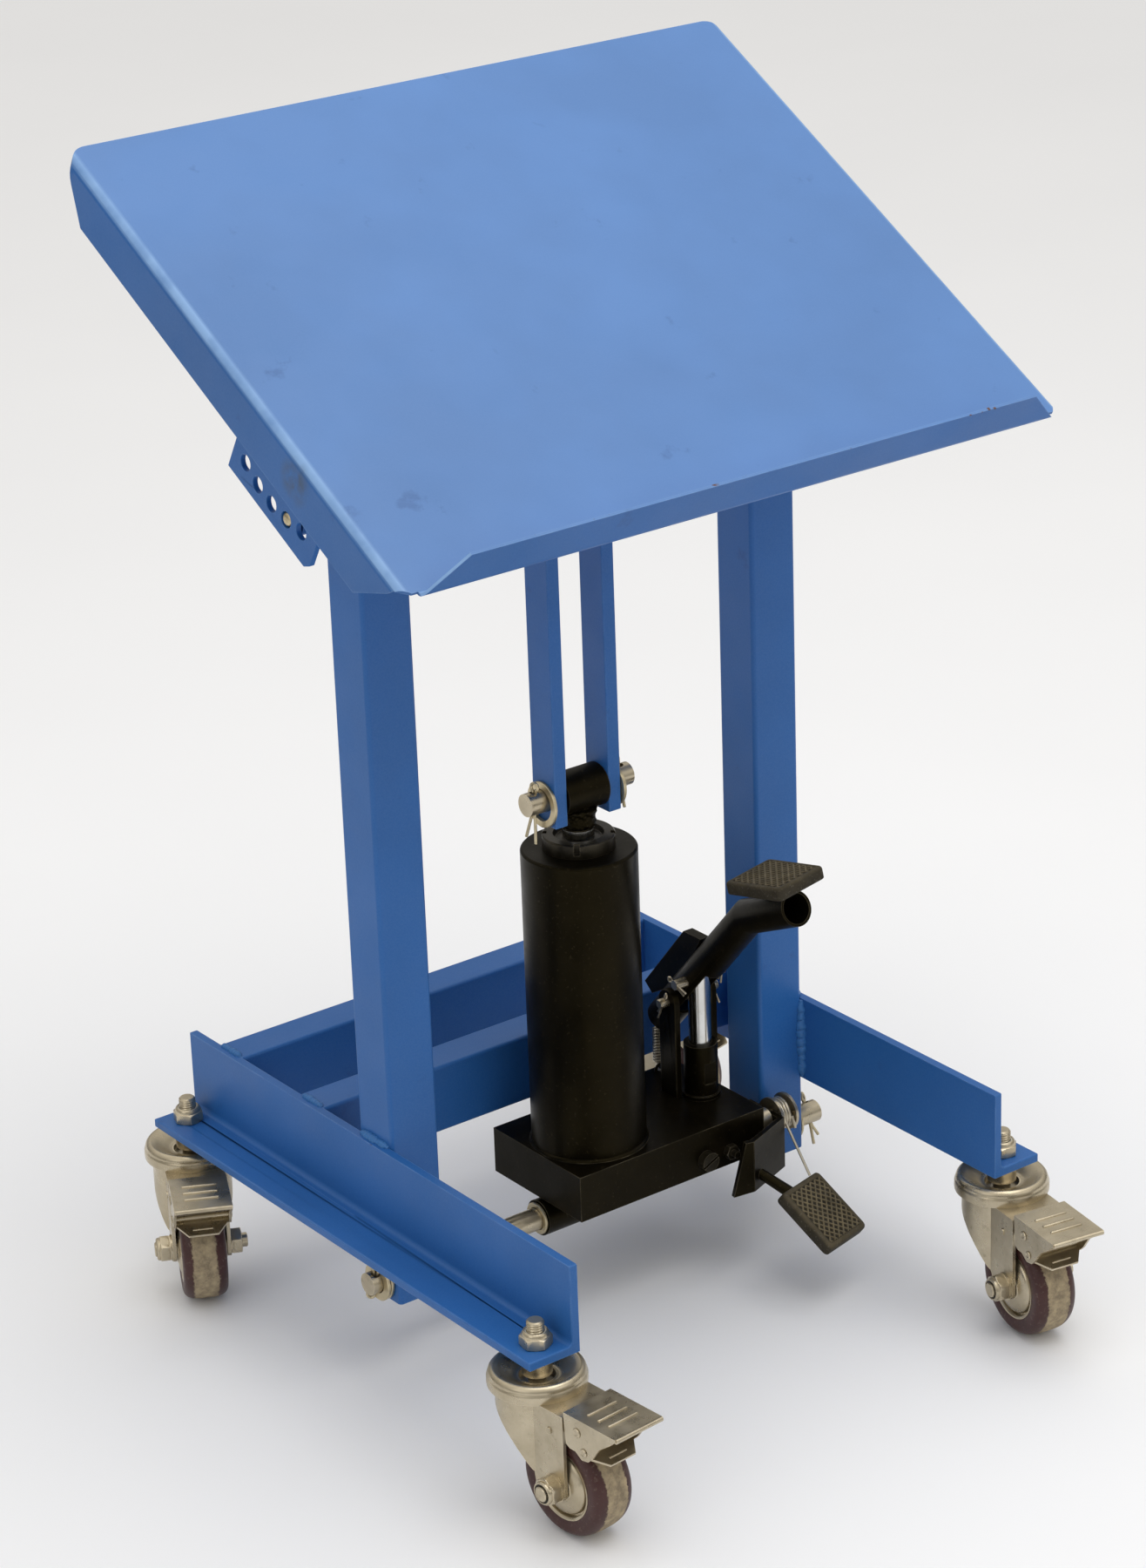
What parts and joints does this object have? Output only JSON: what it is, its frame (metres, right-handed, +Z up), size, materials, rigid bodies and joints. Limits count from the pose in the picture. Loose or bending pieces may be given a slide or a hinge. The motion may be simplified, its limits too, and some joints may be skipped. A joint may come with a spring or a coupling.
{
  "type": "tilting work table",
  "caption": "Mobile hydraulic work table: a folded sheet top that tilts in index holes, raised on square uprights by a foot pump, on braked swivel casters.",
  "frame": {"origin": "on the floor, midway between the two uprights and 32 mm in front of their centre plane, which is the middle of the outline", "axes": "+X across the table to the right of a user at its front, +Y to the rear, +Z up"},
  "size_m": [0.5246, 0.5395, 0.8328],
  "materials": {
    "blue_paint": "satin paint, shop worn",
    "black_paint": "satin black paint",
    "nylon": "matte",
    "zinc_plate": "zinc plated",
    "yellow_zinc": "yellow zinc plated",
    "spring_steel": "zinc plated wire",
    "chrome_rod": "polished",
    "pedal_rubber": "moulded, matte",
    "tread": "matte"
  },
  "bodies": {
    "base": {"left_rail": "blue_paint", "right_rail": "blue_paint", "rear_cross_tube": "blue_paint", "middle_cross_tube": "blue_paint", "left_upright": "blue_paint", "right_upright": "blue_paint", "frame_welds": "blue_paint", "guide_bushes": "nylon", "axle": "zinc_plate", "axle_retainers": "yellow_zinc", "pump_block": "black_paint", "jacket": "black_paint", "pressure_tube": "zinc_plate", "gland_nut": "black_paint", "block_screws": "black_paint", "plunger_housing": "black_paint", "fulcrum_lugs": "black_paint", "fulcrum_pin": "zinc_plate", "return_spring": "spring_steel", "release_stud": "zinc_plate", "caster_bolts": "zinc_plate", "caster_nuts": "zinc_plate"},
    "carriage": {"lift_tubes": "blue_paint", "slide_pads": "nylon", "lift_beam": "blue_paint", "lift_bars": "blue_paint", "tilt_arms": "blue_paint", "ram_rod": "chrome_rod", "ram_head": "black_paint", "clevis_pin": "zinc_plate", "clevis_retainers": "yellow_zinc", "hinge_bolts": "zinc_plate"},
    "table": {"table_top": "blue_paint", "table_ribs": "blue_paint", "hole_brackets": "blue_paint"},
    "left_lock": {"left_lock_pin": "yellow_zinc"},
    "right_lock": {"right_lock_pin": "yellow_zinc"},
    "lever": {"pump_lever": "black_paint", "pump_pad": "pedal_rubber"},
    "plunger": {"plunger": "chrome_rod", "plunger_pin": "zinc_plate"},
    "release": {"release_pedal": "black_paint", "release_pad": "pedal_rubber", "torsion_spring": "spring_steel"},
    "fl_swivel": {"fl_fork": "zinc_plate"},
    "fl_wheel": {"fl_hub": "zinc_plate", "fl_tyre": "tread"},
    "fl_pedal": {"fl_brake": "zinc_plate"},
    "fr_swivel": {"fr_fork": "zinc_plate"},
    "fr_wheel": {"fr_hub": "zinc_plate", "fr_tyre": "tread"},
    "fr_pedal": {"fr_brake": "zinc_plate"},
    "rl_swivel": {"rl_fork": "zinc_plate"},
    "rl_wheel": {"rl_hub": "zinc_plate", "rl_tyre": "tread"},
    "rl_pedal": {"rl_brake": "zinc_plate"},
    "rr_swivel": {"rr_fork": "zinc_plate"},
    "rr_wheel": {"rr_hub": "zinc_plate", "rr_tyre": "tread"},
    "rr_pedal": {"rr_brake": "zinc_plate"}
  },
  "joints": [
    {"name": "lift", "type": "slide", "parent": "base", "child": "carriage", "axis": [0, 0, 1], "range_m": [0, 0.18]},
    {"name": "table_tilt", "type": "hinge", "parent": "carriage", "child": "table", "pos_m": [0, 0.012, 0.711], "axis": [1, 0, 0], "range_deg": [-30, 10]},
    {"name": "left_lock_slide", "type": "slide", "parent": "carriage", "child": "left_lock", "axis": [-1, 0, 0], "range_m": [0, 0.004]},
    {"name": "right_lock_slide", "type": "slide", "parent": "carriage", "child": "right_lock", "axis": [1, 0, 0], "range_m": [0, 0.004]},
    {"name": "pump_lever_turn", "type": "hinge", "parent": "base", "child": "lever", "pos_m": [0.1, 0.045, 0.191], "axis": [1, 0, 0], "range_deg": [0, 25], "deforming": ["return_spring"]},
    {"name": "plunger_slide", "type": "slide", "parent": "base", "child": "plunger", "axis": [0, 0, -1], "range_m": [0, 0.0105]},
    {"name": "release_turn", "type": "hinge", "parent": "base", "child": "release", "pos_m": [0.132, -0.003, 0.102], "axis": [1, 0, 0], "range_deg": [0, 12]},
    {"name": "fl_swivel_turn", "type": "hinge", "parent": "base", "child": "fl_swivel", "pos_m": [-0.199, -0.173, 0.098], "axis": [0, 0, 1], "continuous": true},
    {"name": "fl_wheel_turn", "type": "hinge", "parent": "fl_swivel", "child": "fl_wheel", "pos_m": [-0.19586, -0.20886, 0.0375], "axis": [0.9962, 0.0872, 0], "continuous": true},
    {"name": "fl_brake_turn", "type": "hinge", "parent": "fl_swivel", "child": "fl_pedal", "pos_m": [-0.19386, -0.23178, 0.087], "axis": [0.9962, 0.0872, 0], "range_deg": [0, 8]},
    {"name": "fr_swivel_turn", "type": "hinge", "parent": "base", "child": "fr_swivel", "pos_m": [0.199, -0.173, 0.098], "axis": [0, 0, 1], "continuous": true},
    {"name": "fr_wheel_turn", "type": "hinge", "parent": "fr_swivel", "child": "fr_wheel", "pos_m": [0.19275, -0.20845, 0.0375], "axis": [0.9848, -0.1736, 0], "continuous": true},
    {"name": "fr_brake_turn", "type": "hinge", "parent": "fr_swivel", "child": "fr_pedal", "pos_m": [0.18876, -0.2311, 0.087], "axis": [0.9848, -0.1736, 0], "range_deg": [0, 8]},
    {"name": "rl_swivel_turn", "type": "hinge", "parent": "base", "child": "rl_swivel", "pos_m": [-0.199, 0.237, 0.098], "axis": [0, 0, 1], "continuous": true},
    {"name": "rl_wheel_turn", "type": "hinge", "parent": "rl_swivel", "child": "rl_wheel", "pos_m": [-0.21534, 0.20492, 0.0375], "axis": [0.891, -0.454, 0], "continuous": true},
    {"name": "rl_brake_turn", "type": "hinge", "parent": "rl_swivel", "child": "rl_pedal", "pos_m": [-0.22579, 0.18443, 0.087], "axis": [0.891, -0.454, 0], "range_deg": [0, 8]},
    {"name": "rr_swivel_turn", "type": "hinge", "parent": "base", "child": "rr_swivel", "pos_m": [0.199, 0.237, 0.098], "axis": [0, 0, 1], "continuous": true},
    {"name": "rr_wheel_turn", "type": "hinge", "parent": "rr_swivel", "child": "rr_wheel", "pos_m": [0.20771, 0.20207, 0.0375], "axis": [0.9703, 0.2419, 0], "continuous": true},
    {"name": "rr_brake_turn", "type": "hinge", "parent": "rr_swivel", "child": "rr_pedal", "pos_m": [0.21327, 0.17975, 0.087], "axis": [0.9703, 0.2419, 0], "range_deg": [0, 8]}
  ],
  "couplings": [
    {"joint": "plunger_slide", "follows": "pump_lever_turn", "m_per_rad": 0.024}
  ]
}
